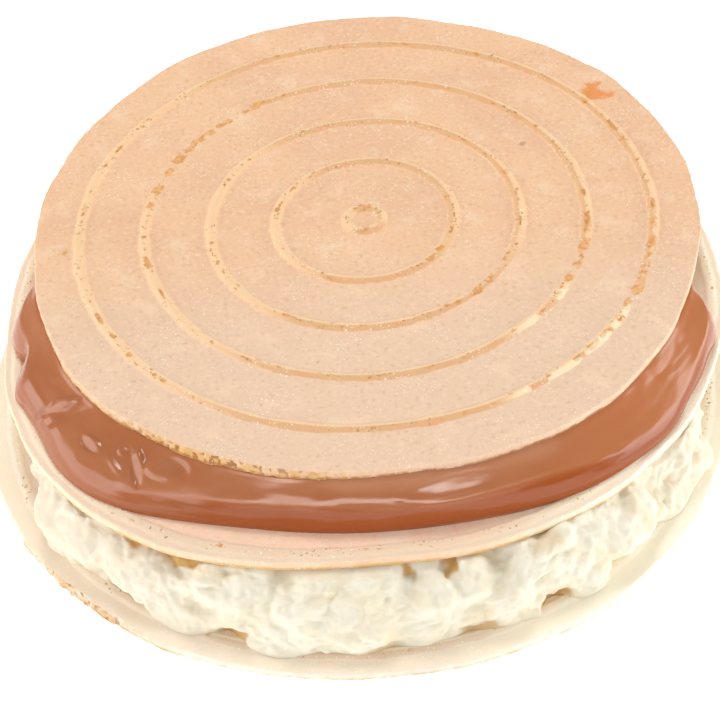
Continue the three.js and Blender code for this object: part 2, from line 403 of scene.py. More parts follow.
@dataclass(frozen=True)
class WaferFinish:
    """Dry baked wafer: pale, with browned pores, a golden broken edge and white grains with a painted sparkle.
    Painted shade darkens ridge slopes that face the front and the inner ones at the sides, lit ridge flanks get a
    painted highlight, and painted light pales the face towards one side and, on some wafers, towards the far left.
    """

    face: Colour = srgb(242, 198, 158)
    blush: Colour = srgb(237, 192, 155)
    # painted light: the paler colour that the face turns to towards a strongly lit side
    lit_pale: Colour = srgb(236, 203, 174)
    pale: Colour = srgb(249, 216, 184)
    dusky: Colour = srgb(224, 190, 160)
    freckle: Colour = srgb(206, 160, 122)
    ridge: Colour = srgb(250, 212, 166)
    # painted shade on ridge slopes, in two tones
    slope: Colour = srgb(223, 175, 127)
    rosy_shade: Colour = srgb(228, 166, 118)
    inside: Colour = srgb(236, 178, 114)
    toasted: Colour = srgb(218, 152, 88)
    # colour of dark pores and pits, and of the painted shadow line along the rim's lower edge
    brown_and_shadow: Colour = srgb(170, 110, 60)
    golden: Colour = srgb(222, 176, 112)
    # white grains, whose colour also stands in for their sparkle: a painted sparkle
    sugar_glint: Colour = srgb(255, 248, 236)
    lit: Colour = srgb(255, 234, 196)
    # painted light: the way towards which the face turns paler, where that starts and ends, and how strongly, also
    # towards the far left
    lit_side: Place = FRONT
    lit_from: float = -20 * MM
    lit_to: float = 25 * MM
    far_lit_from: float = -42 * MM
    far_lit_to: float = -66 * MM
    lit_share: float = 0.0
    far_lit_share: float = 0.0

    def material(self, name: str, spots: Sequence[tuple[Spot, Place]]) -> bpy.types.Material:
        """Makes the finish.

        Args:
            name: Name of the material.
            spots: Spots and their places.

        Returns:
            The material.
        """
        made = Shader(name, self.face)
        grain = made.patches(1.0 * MM, 4.0)
        made.coat(self.blush, made.patches(18 * MM), 0.38, 0.62)
        # painted light: paler towards the lit side
        made.coat(self.lit_pale, made.along(self.lit_side), self.lit_from, self.lit_to)
        made.coat(self.pale, made.patches(6 * MM, 4.0), 0.52, 0.74, 0.6)
        made.coat(self.dusky, made.patches(3 * MM, 3.0), 0.6, 0.8, 0.4)
        made.coat(self.freckle, grain, 0.54, 0.76, 0.4)
        made.coat(self.pale, grain, 0.46, 0.28, 0.55)
        made.coat(self.ridge, made.painted("ridge"), 0.1, 0.8, 0.75)
        # painted shade on ridge slopes that face the front, and on the inner ones at the sides
        slope = made.blend(made.span(made.patches(5 * MM, 4.0), 0.48, 0.68), self.slope, self.rosy_shade)
        made.coat(slope, made.painted("slope"), 0.0, 0.9, 0.85)
        # painted light: paler still towards the lit side, and also paler towards the far left
        made.coat(self.lit_pale, made.along(self.lit_side), self.lit_from, self.lit_to, self.lit_share)
        made.coat(self.lit_pale, made.along(self.lit_side), self.far_lit_from, self.far_lit_to, self.far_lit_share)
        pores = made.span(made.patches(0.7 * MM, 2.0), 0.62, 0.7, 0.0, 0.8)
        made.tint(self.brown_and_shadow, made.maths("MULTIPLY", pores, made.painted("porous")))
        for spot, place in spots:
            made.tint(spot.colour, made.near(place, spot.size, spot.wander))
        made.coat(self.golden, made.painted("golden"), 0.05, 0.9)
        inside = made.blend(made.span(grain, 0.44, 0.58), self.inside, self.toasted)
        made.coat(inside, made.painted("crumb"), 0.1, 0.7, 0.85)
        # dark crumbs and pits, and the painted shadow line along the rim's lower edge
        made.coat(self.brown_and_shadow, made.painted("brown_and_shadow"), 0.2, 0.9, 0.85)
        made.coat(self.lit, made.painted("lit"), 0.2, 0.6, 0.75)
        # white grains with a painted sparkle
        sparkle = made.maths("MULTIPLY", made.span(made.patches(0.42 * MM, 1.5), 0.63, 0.7),
                             made.span(made.patches(7 * MM, 3.0), 0.38, 0.66, 0.04, 0.85))
        made.tint(self.sugar_glint, sparkle)
        rough = made.relief(made.patches(1.6 * MM, 4.0), 0.25 * MM, 0.3)
        return made.finished(
            Roughness=made.span(sparkle, 0.0, 1.0, 0.72, 0.4), Specular_IOR_Level=0.25, Subsurface_Weight=0.2,
            Subsurface_Scale=1.0 * MM, Subsurface_Radius=(1.0, 0.55, 0.3),
            Normal=made.relief(grain, 0.12 * MM, 0.35, rough))


@dataclass(frozen=True)
class CaramelFinish:
    """Smooth glossy milk caramel, milky in streaks, with painted shade low on its side that thins out to the left, a
    painted sheen to the right and a painted reflection high on its front slope.
    """

    thick: Colour = srgb(169, 101, 61)
    milky: Colour = srgb(176, 110, 71)
    # painted shade low on the caramel's wall
    low_shade: Colour = srgb(157, 76, 24)
    # painted sheen towards the right
    right_sheen: Colour = srgb(186, 114, 68)
    # painted reflection of the overhead light, high on the front slope
    overhead_sheen: Colour = srgb(188, 131, 97)

    def material(self, name: str) -> bpy.types.Material:
        """Makes the finish.

        Args:
            name: Name of the material.

        Returns:
            The material.
        """
        made = Shader(name, self.thick)
        made.coat(self.milky, made.patches(9 * MM, 3.0, made.stretched((0.5, 0.5, 2.0))), 0.35, 0.7)
        # painted sheen towards the right
        made.coat(self.right_sheen, made.along(RIGHT), 10 * MM, 50 * MM, 0.6)
        # painted reflection of the overhead light, high on the front slope
        made.coat(self.overhead_sheen, made.painted("overhead_sheen"), 0.0, 1.0, 0.8)
        # painted shade low on the wall, thinning out to the left where the left light falls
        depth = made.span(made.along(LEFT), 15 * MM, 50 * MM, 1.0, 0.45)
        made.tint(self.low_shade, made.maths("MULTIPLY", made.span(made.painted("low"), 0.1, 1.0), depth))
        return made.finished(
            Roughness=made.span(made.patches(6 * MM), 0.3, 0.7, 0.15, 0.22), Specular_IOR_Level=0.45,
            Subsurface_Weight=0.12, Subsurface_Scale=1.5 * MM, Subsurface_Radius=(1.0, 0.45, 0.25),
            Normal=made.relief(made.patches(4 * MM, 1.0), 0.15 * MM, 0.1))


@dataclass(frozen=True)
class CreamFinish:
    """Whipped cream: ivory and soft, with ochre painted shade in its gaps and hollows, and darker, yellower painted
    shade on its left side.
    """

    ivory: Colour = srgb(235, 229, 210)
    butter: Colour = srgb(234, 222, 194)
    # ochre painted shade in gaps and hollows
    hollow: Colour = srgb(208, 168, 106)
    # painted shade on the left side
    left_shade: Colour = srgb(228, 211, 189)

    def material(self, name: str) -> bpy.types.Material:
        """Makes the finish.

        Args:
            name: Name of the material.

        Returns:
            The material.
        """
        made = Shader(name, self.ivory)
        made.coat(self.butter, made.patches(6 * MM, 3.0), 0.4, 0.75)
        # painted shade: darker and yellower towards the left
        made.coat(self.left_shade, made.along(LEFT), 12 * MM, 60 * MM, 0.55)
        # painted shade in the gaps and hollows
        made.coat(self.hollow, made.painted("hollow"), 0.15, 0.8)
        return made.finished(
            Roughness=0.8, Specular_IOR_Level=0.2, Subsurface_Weight=0.35, Subsurface_Scale=1.0 * MM,
            Subsurface_Radius=(1.0, 0.85, 0.6), Normal=made.relief(made.patches(0.8 * MM, 3.0), 0.3 * MM, 0.32))


@dataclass(frozen=True)
class TableFinish:
    """Plain matt white light table."""

    white: Colour = srgb(252, 252, 252)
    shade: Colour = srgb(250, 250, 250)
    glow: float = 0.7

    def material(self, name: str) -> bpy.types.Material:
        """Makes the finish.

        Args:
            name: Name of the material.

        Returns:
            The material.
        """
        made = Shader(name, self.white)
        made.tint(self.shade, made.patches(0.4))
        return made.finished(Roughness=0.9, Specular_IOR_Level=0.1, Emission_Color=self.white,
                             Emission_Strength=self.glow)


@dataclass(frozen=True)
class Pocket:
    """A jagged pocket in a ridge: the ridge from the hub, its angle in degrees, its length, width and offset."""

    ridge: int
    at: float
    length: float
    width: float
    aside: float = 0.0

    def inside(self, angles: Grid, radius: float, across: Grid) -> Grid:
        """Gives 1 in its middle and 0 at its edge, for angles in radians and offsets from a ridge of a radius."""
        away = apart(angles, self.at) * (math.pi / 180.0) * radius
        return 1.0 - np.hypot(away[:, None] * 2.0 / self.length, (across - self.aside) * 2.0 / self.width)


def pockets(ridge: int, *marks: tuple[float, float, float]) -> tuple[Pocket, ...]:
    """Lists the pockets of a ridge by angle in degrees, and length and width in millimetres."""
    return tuple(Pocket(ridge, at, length * MM, width * MM) for at, length, width in marks)


class Face(Enum):
    """The faces of a wafer."""

    TOP = "top"
    RIM = "rim"
    UNDER = "under"


@dataclass(frozen=True)
class Layout:
    """The turns and rows of a wafer: directions, the rim in each, and each row's radius, height and face."""

    angles: Grid
    direction: Grid
    rim: Grid
    radius: Grid
    height: Grid
    faces: tuple[Face, ...]

    def on(self, face: Face) -> Grid:
        """Tells which rows belong to a face."""
        return np.array([own is face for own in self.faces])


Marks = tuple[tuple[int, Stretch], ...]
RIM_SHARE = 0.85
RIM_SEARCH = np.linspace(45 * MM, 90 * MM, 181)
RIM_INSETS = np.array([1.6, 1.1, 0.7, 0.4, 0.18]) * MM
UNDER_INSETS = np.array([0.15, 0.5, 2.0, 8.0]) * MM
RIDGE_OFFSETS = np.linspace(-1.1, 1.1, 13)
PORE_LENGTHS, PORE_WIDTHS, PORE_SPREAD = (0.4, 1.6), (0.35, 0.7), 0.25


@dataclass
class Wafer:
    """A thin round wafer with ring ridges, crumbled in places, and a ragged rim.

    Crumbled, gone, lit and scars are stretches of ridges, each with the number of its ridge from the hub.
    """

    name: str
    node: str
    centre: tuple[float, float]
    rings: tuple[float, ...]
    firm: float
    seed: int = 1
    thickness: float = 1.8 * MM
    rounding: float = 0.15 * MM
    rim_rows: int = 7
    row_gap: float = 2.8 * MM
    ridge_height: float = 0.58 * MM
    ridge_foot: float = 1.5 * MM
    ridge_crest: float = 0.45 * MM
    wobble: float = 0.35 * MM
    wave: float = 0.12 * MM
    ragged: float = 0.16 * MM
    slant: float = 0.8 * MM
    pit: float = 0.25 * MM
    rim_gold: float = 0.1
    foot_gold: float = 0.5
    under_gold: float = 0.75
    # strength of the painted shadow along the rim's lower edge, where it sits on the caramel
    shadow_line: float = 0.0
    pores: int = 0
    steps: int = 160
    cuts: int = 5
    crumbled: Marks = ()
    gone: Marks = ()
    lit: Marks = ()
    scars: Marks = ()
    pockets: tuple[Pocket, ...] = ()
    crumbly_rim: tuple[Stretch, ...] = ()
    worn: tuple[Stretch, ...] = ()
    spots: tuple[Spot, ...] = ()
    pale_from: float = math.inf

    def rim(self, angles: Grid) -> Grid:
        """Measures the wafer's rim on its solid.

        Args:
            angles: Directions in radians.

        Returns:
            The radius in each direction.
        """
        corners = np.array([v.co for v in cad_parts[self.node].data.vertices])
        radius, turn = polar(corners[:, :2] - np.array(self.centre))
        turn = np.round(np.degrees(turn) % 360.0, 1)
        at = np.unique(turn)
        reach = np.array([radius[turn == value].max() for value in at])
        outer = reach > RIM_SHARE * reach.max()
        return np.interp(np.degrees(angles), at[outer], reach[outer], period=360.0) - total(self.worn, angles)

    def layout(self) -> Layout:
        """Lays out the turns, and the rows from the middle of the top to the middle of the underside.

        Returns:
            The layout.
        """
        angles, direction = compass(self.steps * (self.cuts + 1))
        rim = blurred(self.rim(angles), 3.0)
        radius = float(rim.mean())
        near_rim = radius - RIM_INSETS
        offsets = RIDGE_OFFSETS * self.ridge_foot
        wanted = np.concatenate([np.array([0.0]), *(at + offsets for at in self.rings), near_rim])
        across = np.unique(np.round(np.clip(wanted, 0.0, near_rim[-1]), 6))
        spans = [np.linspace(a, b, max(1, math.ceil((b - a) / self.row_gap)), endpoint=False)
                 for a, b in zip(across, across[1:])]
        top = np.append(np.concatenate(spans), across[-1])
        under = [*(radius - UNDER_INSETS), radius * 0.5, 0.0]
        side = np.linspace(self.thickness - self.rounding, self.rounding, self.rim_rows)
        heights = np.concatenate((np.full(len(top), self.thickness), side, np.zeros(len(under))))
        faces = (Face.TOP,) * len(top) + (Face.RIM,) * self.rim_rows + (Face.UNDER,) * len(under)
        radii = np.concatenate((top, np.full(self.rim_rows, radius), under))
        return Layout(angles, direction, rim, radii, heights, faces)

    @staticmethod
    def shares(marks: Marks, number: int, angles: Grid) -> Grid:
        """Adds up the stretches of one ridge at angles in radians."""
        return total([stretch for ridge, stretch in marks if ridge == number], angles)

    def build(self) -> bpy.types.Object:
        """Makes the wafer in place of its solid.

        Returns:
            The piece.
        """
        plan = self.layout()
        top, mean = plan.on(Face.TOP), float(plan.rim.mean())
        body = Turned(self.name, np.stack((plan.radius, plan.height), axis=-1), self.steps, self.cuts)
        share = np.clip((plan.radius - self.firm) / (mean - self.firm), 0.0, 1.0)
        radius = plan.radius + share * (plan.rim - mean)[:, None]
        rise = np.tile(plan.height, (len(plan.angles), 1))
        marks = self.ridged(plan, radius, rise)
        crest, crumb, lit = marks["crest"], marks["crumb"], marks["lit"]
        places = plan.direction[:, None, :] * radius[..., None]
        rise += self.wave * clouds(places, 26 * MM, 1, self.seed + 0.5) * smooth(plan.radius, 0.0, 4 * MM)
        edge, golden, pits = self.edge(plan)
        places = plan.direction[:, None, :] * (radius + edge)[..., None]
        places[..., 2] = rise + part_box(self.node)[0].z
        places[..., :2] += np.array(self.centre)
        body.move(places)
        pale = smooth(plan.radius - self.pale_from, 0.0, 1.5 * MM) * top
        speckled = smooth(clouds(places, 9 * MM, 2, self.seed + 30.0), -0.35, 0.3)
        scar = marks["scar"] * (1.0 + 1.6 * clouds(places, 2.5 * MM, 3, self.seed + 40.0))
        dark = smooth(clouds(places, 1.1 * MM, 2, self.seed + 20.0), 0.0, 0.5)
        body.paint({
            "ridge": np.maximum(crest, pale),
            # painted shade on ridge slopes
            "slope": marks["slope"],
            "lit": lit,
            "porous": smooth(crest, 0.2, 0.6) * speckled,
            "crumb": np.maximum(crumb, scar * (1.0 - lit)),
            # dark crumbs and pits, and the painted shadow line along the rim's lower edge
            "brown_and_shadow": np.maximum(dark * crumb * (1.8 - 1.5 * crumb), pits),
            "golden": golden,
        })
        return body.piece(self.node)

    def ridged(self, plan: Layout, radius: Grid, rise: Grid) -> dict[str, Grid]:
        """Raises the ridges, which moves the given radii and heights.

        Args:
            plan: Layout of the wafer.
            radius: Radii by turn and row.
            rise: Heights by turn and row.

        Returns:
            Shares of crest, shaded slope, lit flank, bared scar and crumb by turn and row.
        """
        top = plan.on(Face.TOP)
        marks = {name: np.zeros_like(rise) for name in ("crest", "slope", "lit", "scar", "crumb")}
        for number, at in enumerate(self.rings):
            circle, across = plan.direction * at, plan.radius - at
            wander = self.wobble * clouds(circle, 30 * MM, 2, self.seed + 3.1 * number)
            radius += wander[:, None] * (1.0 - smooth(np.abs(across), 2.0 * MM, 6.0 * MM))
            width = 1.0 + 0.25 * clouds(circle, 4 * MM, 3, self.seed + 5.3 * number)
            bump = smooth(np.abs(across * width[:, None]), self.ridge_foot, self.ridge_crest) * top
            bump *= 1.0 - np.clip(self.shares(self.gone, number, plan.angles), 0.0, 1.0)[:, None]
            uneven = 1.0 + 0.18 * clouds(circle, 6 * MM, 2, self.seed + 7.7 * number)
            rise += self.ridge_height * bump * uneven[:, None]
            pale = self.shares(self.lit, number, plan.angles)
            pale = (pale * smooth(clouds(circle, 5 * MM, 2, self.seed), -0.4, -0.1))[:, None]
            bared = self.shares(self.scars, number, plan.angles)[:, None]
            found = {
                "crest": bump,
                # painted shade on the slopes that face the front, and on the inner ones at the sides
                "slope": smooth(bump, 0.12, 0.45) * self.shaded(plan, across) * (1.0 - pale),
                "lit": smooth(bump, 0.1, 0.5) * pale * smooth(across, -0.3 * MM, 0.1 * MM),
                "scar": bared * smooth(np.abs(across), 1.4 * MM, 0.6 * MM),
                "crumb": self.lost(plan, number, at),
            }
            for name, share in found.items():
                marks[name] = np.maximum(marks[name], share)
        rise -= self.ridge_height * marks["crumb"] * 0.75 * marks["crest"] * top
        return marks

    @staticmethod
    def shaded(plan: Layout, across: Grid) -> Grid:
        """Finds where a ridge gets painted shade: on its side towards the front, and on the inner one at the sides.

        Args:
            plan: Layout of the wafer.
            across: Offset of each row from the middle of the ridge.

        Returns:
            Shares by turn and row.
        """
        aside, ahead = plan.direction[:, :1], plan.direction[:, 1:2]
        front = np.abs(ahead) * smooth(-ahead * across, -0.35 * MM, 0.2 * MM)
        front *= 1.0 - 0.7 * smooth(-aside, 0.3, 0.8)
        inner = (0.2 + 0.5 * smooth(aside, 0.0, 0.6)) * (1.0 - np.abs(ahead))
        return front + inner * smooth(across, 0.1 * MM, -0.4 * MM)

    def lost(self, plan: Layout, number: int, at: float) -> Grid:
        """Works out where a ridge has crumbled or has pores.

        Args:
            plan: Layout of the wafer.
            number: Number of the ridge, from the hub.
            at: Radius of the ridge.

        Returns:
            The lost share by turn and row, 0 to 1.
        """
        here = np.where(np.abs(plan.radius - at) < 1.2 * self.ridge_foot)[0]
        across = plan.radius[here] - at
        unrolled = plan.direction[:, None, :] * at + UPWARDS * across[:, None]
        broken = self.shares(self.crumbled, number, plan.angles)
        rough = clouds(unrolled, 1.8 * MM, 4, self.seed + 11.0 * number)
        wall = smooth(across, 0.9 * MM, 0.5 * MM) * smooth(across, -1.2 * MM, -0.8 * MM)
        lost = smooth(broken[:, None] + 0.9 * rough, 0.45, 0.8) * smooth(broken, 0.03, 0.3)[:, None] * wall
        draw = np.random.default_rng(self.seed * 100 + number)
        pores = [Pocket(number, draw.uniform(-180.0, 180.0), draw.uniform(*PORE_LENGTHS) * MM,
                        draw.uniform(*PORE_WIDTHS) * MM, draw.normal(0.0, PORE_SPREAD) * MM)
                 for _ in range(int(self.pores * at / (40 * MM)))]
        for pocket in (*self.pockets, *pores):
            if pocket.ridge == number:
                inside = pocket.inside(plan.angles, at, across) + 0.8 * rough
                lost = np.maximum(lost, smooth(inside, 0.1, 0.4))
        everywhere = np.zeros((len(plan.angles), len(plan.radius)))
        everywhere[:, here] = lost
        return everywhere

    def edge(self, plan: Layout) -> tuple[Grid, Grid, Grid]:
        """Works out the ragged rim.

        Args:
            plan: Layout of the wafer.

        Returns:
            How far each vertex is moved outwards, how golden it is, and how dark from pits and from the painted
            shadow line along the rim's lower edge, by turn and row.
        """
        top, side, under = (plan.on(face) for face in (Face.TOP, Face.RIM, Face.UNDER))
        crumbly = total(self.crumbly_rim, plan.angles)[:, None]
        outline = plan.direction[:, None, :] * plan.rim[:, None, None] + UPWARDS * plan.height[:, None]
        fine = clouds(outline, 1.5 * MM, 3, self.seed + 5.0)
        coarse = clouds(plan.direction * plan.rim[:, None], 5 * MM, 2, self.seed + 9.0)[:, None]
        holes = clouds(outline, 0.9 * MM, 2, self.seed + 13.0)
        outermost = plan.radius.max()
        close = smooth(plan.radius, outermost - 1.8 * MM, outermost)
        moved = self.ragged * (1.0 + 2.2 * crumbly) * (fine * 0.9 + coarse * 0.7) * close
        moved -= self.slant * crumbly * (plan.height / self.thickness * close)
        moved -= self.pit * (smooth(holes, 0.15, 0.4) * crumbly * side)
        golden = np.where(side, self.rim_gold + 0.8 * crumbly, 0.0)
        golden += np.where(top, 0.3 * crumbly * close, 0.0)
        golden += np.where(side, self.foot_gold * smooth(plan.height, 1.0 * MM, 0.3 * MM), 0.0)
        golden += np.where(under, self.under_gold, 0.0)
        golden = np.clip(golden * (0.9 + 0.7 * fine + 0.6 * coarse), 0.0, 1.0)
        # painted shadow: a dark line along the rim's lower edge, where it sits on the caramel
        shadow_mark = self.shadow_line * smooth(plan.height, 1.1 * MM, 0.4 * MM) * side
        brown_and_shadow = np.maximum(smooth(holes, 0.0, 0.25) * crumbly * side, shadow_mark * (0.7 + 0.8 * fine))
        return moved, golden, brown_and_shadow

    def dress(self, made: bpy.types.Object, finish: WaferFinish) -> None:
        """Gives the wafer its finish.

        Args:
            made: The piece.
            finish: The finish.
        """
        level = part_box(self.node)[0].z + self.thickness
        middles = [np.array(self.centre) + spot.radius * heading(spot.at) for spot in self.spots]
        placed = [(spot, (*middle.tolist(), level)) for spot, middle in zip(self.spots, middles)]
        made.data.materials.append(finish.material(f"{self.name}_baked", placed))


@dataclass(frozen=True)
class Fold:
    """A fold, when raised, or a dent in a filling, by its angle in degrees and radius.

    Along runs round the wafer and across runs outwards; turn swings both, in degrees.
    """

    at: float
    radius: float
    along: float
    across: float
    rise: float
    turn: float = 0.0

    def measured(self, points: Grid, centre: tuple[float, float]) -> tuple[Grid, Grid, Grid]:
        """Measures places from the middle of the fold.

        Args:
            points: Places by turn and row.
            centre: Centre of the filling.

        Returns:
            How far away they are, and the shares of its length and of its width that this is.
        """
        outwards, (cosine, sine) = heading(self.at), heading(self.turn).tolist()
        away = points[..., :2] - np.array(centre) - outwards * self.radius
        first, second = away @ np.array((-outwards[1], outwards[0])), away @ outwards
        first, second = first * cosine + second * sine, second * cosine - first * sine
        return away, first / self.along, second / self.across

    def lift(self, points: Grid, centre: tuple[float, float]) -> Grid:
        """Gives the rise at places, by turn and row."""
        _, first, second = self.measured(points, centre)
        return self.rise * np.exp(-(first ** 2) - second ** 2)


@dataclass(frozen=True)
class Facet(Fold):
    """A lens-shaped facet in the caramel: rise is its dome, tilt its slope in degrees down towards an angle."""

    tilt: float = 0.0
    towards: float = 0.0

    def lift(self, points: Grid, centre: tuple[float, float]) -> Grid:
        """Gives the rise at places.

        Args:
            points: Places by turn and row.
            centre: Centre of the filling.

        Returns:
            The rise by turn and row.
        """
        away, first, second = self.measured(points, centre)
        far, down = first ** 2 + second ** 2, away @ heading(self.towards)
        return (self.rise * (1.0 - far) - math.tan(math.radians(self.tilt)) * down) * np.exp(-far ** 3)


@dataclass(kw_only=True)
class Filling(ABC):
    """A soft layer between wafers, shaped from the outline of its solid."""

    name: str
    node: str
    slot: str
    coating: str
    centre: tuple[float, float]
    foot: float
    sink: float
    rise: float
    steps: int
    cuts: int
    rows: int
    soften: tuple[float, float]

    @abstractmethod
    def section(self) -> Grid:
        """Gives places by turn and row, from the axis below to the axis above."""

    @abstractmethod
    def shaped(self, places: Grid) -> tuple[Grid, dict[str, Grid]]:
        """Gives the moved places, and the values that the finish reads, for places by turn and row."""

    def solid(self) -> BVHTree:
        """Gives the faces of the solid, to look for."""
        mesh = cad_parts[self.node].data
        return BVHTree.FromPolygons([v.co for v in mesh.vertices], [p.vertices for p in mesh.polygons])

    def middle(self) -> Vector:
        """Gives the middle of the solid's foot."""
        return Vector((*self.centre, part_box(self.node)[0].z + self.foot))

    def reach(self, solid: BVHTree, flat: Grid) -> Grid:
        """Measures how far the solid's foot reaches in level directions."""
        start = self.middle()
        return np.array([solid.ray_cast(start, Vector(way))[3] for way in flat])

    def hoop(self, flat: Grid, radius: Grid, height: float) -> Grid:
        """Gives a level row of places by turn, for outward directions and a radius in each."""
        return (np.array((*self.centre, height)) + flat * radius[:, None])[:, None]

    def build(self) -> bpy.types.Object:
        """Turns the section, gives it its relief and puts it in place of its solid.

        Returns:
            The piece.
        """
        places = self.section()
        radius, _ = polar(places[..., :2] - np.array(self.centre))
        profile = np.stack((radius.mean(axis=0), places[..., 2].mean(axis=0)), axis=-1)
        body = Turned(self.name, profile, self.steps, self.cuts)
        moved, painted = self.shaped(places)
        body.move(moved)
        body.paint(painted)
        return body.piece(self.node)

    def dress(self, made: bpy.types.Object, finish: CaramelFinish | CreamFinish) -> None:
        """Gives the filling its finish."""
        made.data.materials.append(finish.material(self.coating))


@dataclass(frozen=True)
class Lip:
    """The lip of the caramel at an angle in degrees: its height above the wafer below and its setback."""

    at: float
    height: float
    setback: float


def lips(*marks: tuple[float, float, float]) -> tuple[Lip, ...]:
    """Lists lips by angle in degrees, and height and setback in millimetres."""
    return tuple(Lip(at, height * MM, setback * MM) for at, height, setback in marks)


@dataclass(kw_only=True)
class Caramel(Filling):
    """The caramel layer: it slopes from under the wafer above to a lip, then falls to its foot, with folds."""

    cover: Wafer
    lips: tuple[Lip, ...]
    folds: tuple[Fold, ...]
    dents: tuple[Stretch, ...]
    rounded: tuple[Stretch, ...]
    # stretch of the painted reflection high on the front slope
    sheen_stretch: Stretch
    wave: float = 0.2 * MM
    streak: float = 0.08 * MM
    belly: float = 0.4 * MM
    sag: float = 0.1 * MM
    tuck: float = 0.35 * MM
    slump: float = 1.6
    mouth: float = 3.0 * MM
    lip_blur: float = 10.0
    clearance: float = 0.4 * MM
    hidden: float = 3.0 * MM
    wall_rows: int = 30
    round_rows: float = 13.0
    end_rows: float = 10.0

    def covered(self, flat: Grid) -> Grid:
        """Finds how far the wafer above reaches.

        Args:
            flat: Outward directions.

        Returns:
            The distance from the middle to the rim above, in each direction.
        """
        places = np.array(self.centre) + flat[:, None, :2] * RIM_SEARCH[:, None] - np.array(self.cover.centre)
        far, turn = polar(places)
        return np.array([np.interp(0.0, row, RIM_SEARCH) for row in far - self.cover.rim(turn)])

    def section(self) -> Grid:
        """Draws the section from the outline of the solid and the lip.

        Returns:
            Places by turn and row, from the axis below to the axis above.
        """
        angles, flat = compass(self.steps * (self.cuts + 1))
        low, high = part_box(self.node)
        top, bottom = high.z + self.rise, low.z - self.sink
        rim = self.covered(flat)
        foot = blurred(self.reach(self.solid(), flat), self.soften[0]) + total(self.dents, angles)
        turn, at = np.degrees(angles), [lip.at for lip in self.lips]
        lip = foot - np.interp(turn, at, [lip.setback for lip in self.lips], period=360.0)
        height = np.interp(turn, at, [lip.height for lip in self.lips], period=360.0) + low.z
        bare = smooth(lip - rim, 0.0, self.mouth)
        height = top - self.clearance + bare * (height - top + self.clearance)
        height, lip = (blurred(line, self.lip_blur) for line in (height, lip))
        inner = np.minimum(rim - 0.1 * MM, lip - 0.5 * MM)
        up = np.linspace(0.0, 1.0, self.wall_rows)
        tuck = self.tuck * (1.0 - smooth(up, 0.0, 0.18))
        wall = foot[:, None] + self.belly * np.sin(math.pi * up) - tuck + (lip - foot)[:, None] * up ** self.slump
        rise = bottom + (height - bottom)[:, None] * up
        back = np.linspace(0.0, 1.0, self.rows - self.wall_rows + 1)[1:]
        slope = lip[:, None] + (inner - lip)[:, None] * back
        climb = height[:, None] + (top - height)[:, None] * back - self.sag * np.sin(math.pi * back) * bare[:, None]
        sharp = np.stack((np.concatenate((wall, slope), axis=1), np.concatenate((rise, climb), axis=1)), axis=-1)
        soft = self.softened(sharp, angles)
        side = flat[:, None, :] * soft[..., :1] + np.array((*self.centre, 0.0))
        side[..., 2] = soft[..., 1]
        axis, hidden = np.zeros_like(inner), inner - self.hidden
        return np.concatenate((self.hoop(flat, axis, bottom), self.hoop(flat, hidden, bottom), side,
                               self.hoop(flat, hidden, top), self.hoop(flat, axis, top)), axis=1)

    def softened(self, sharp: Grid, angles: Grid) -> Grid:
        """Rounds the lip, more in some stretches.

        Args:
            sharp: Radius and height by turn and row.
            angles: Directions in radians.

        Returns:
            Rounded radius and height by turn and row.
        """
        rows, last = np.arange(self.rows), self.rows - 1.0
        ends = smooth(rows, 0.0, self.end_rows) * smooth(rows, last, last - self.end_rows)
        blunt = np.clip(total(self.rounded, angles), 0.0, 1.0)[:, None, None]
        soft = blurred(sharp, 0.0, self.soften[1]) * (1.0 - blunt) + blurred(sharp, 0.0, self.round_rows) * blunt
        return sharp + (soft - sharp) * ends[:, None]

    def shaped(self, places: Grid) -> tuple[Grid, dict[str, Grid]]:
        """Gives the caramel its waves and folds, and the shares of painted shade and painted reflection.

        Args:
            places: Places by turn and row.

        Returns:
            The moved places, and the values that the finish reads.
        """
        count, end = places.shape[:2]
        rows = np.arange(end)
        free = smooth(rows, 2.0, 10.0) * smooth(rows, end - 3.0, end - 9.0)
        lift = self.wave * clouds(places, 14 * MM, 1, 2.0)
        lift += self.streak * clouds(places * np.array((0.35, 0.35, 1.6)), 2.5 * MM, 2, 4.0)
        for fold in self.folds:
            lift += fold.lift(places, self.centre)
        moved = places + outward(places) * (lift * free)[..., None]
        # share of painted shade low on the wall
        low = smooth(rows, self.wall_rows + 6.0, 0.75 * self.wall_rows)
        high = smooth(rows, self.wall_rows + 10.0, end - 10.0)
        # share of the painted reflection high up on the front slope
        overhead_sheen = self.sheen_stretch.share(compass(count)[0])[:, None] * high * (0.8 + 0.6 * clouds(places, 12 * MM, 2, 8.0))
        return moved, {"low": np.tile(low, (count, 1)), "overhead_sheen": np.clip(overhead_sheen, 0.0, 1.0)}


class Level(Enum):
    """Where a gap lies in the side of the cream."""

    RIM = "rim"
    SIDE = "side"
    FOOT = "foot"


GAP_REACH = {Level.RIM: (0.6, 0.95), Level.FOOT: (0.24, 0.06)}
GAP_SHADE = {Level.RIM: (0.86, 0.94), Level.FOOT: (0.16, 0.08)}
HOLLOW_HEIGHT, HOLLOW_SPREAD = 0.5, 0.2
LIFT_ROWS, LIFT_ANGLES = (0.0, 0.86, 1.0), (0.0, 50.0, 90.0)


@dataclass(frozen=True)
class Gap:
    """A gap between the cream and a wafer, or a hollow in its side, which gets painted shade."""

    level: Level
    where: Stretch
    shade: float

    def band(self, height: Grid, edges: dict[Level, tuple[float, float]]) -> Grid:
        """Gives the share of the gap at heights of 0 at the foot to 1 at the rim, by the edges of its level."""
        hollow = np.exp(-(((height - HOLLOW_HEIGHT) / HOLLOW_SPREAD) ** 2))
        return hollow if self.level is Level.SIDE else smooth(height, *edges[self.level])


def gaps(level: Level, *marks: tuple[float, float, float, int, float]) -> tuple[Gap, ...]:
    """Lists gaps by angle and spread in degrees, depth in millimetres, how abrupt and how dark they are."""
    return tuple(Gap(level, Stretch(at, spread, depth * MM, abrupt), shade)
                 for at, spread, depth, abrupt, shade in marks)


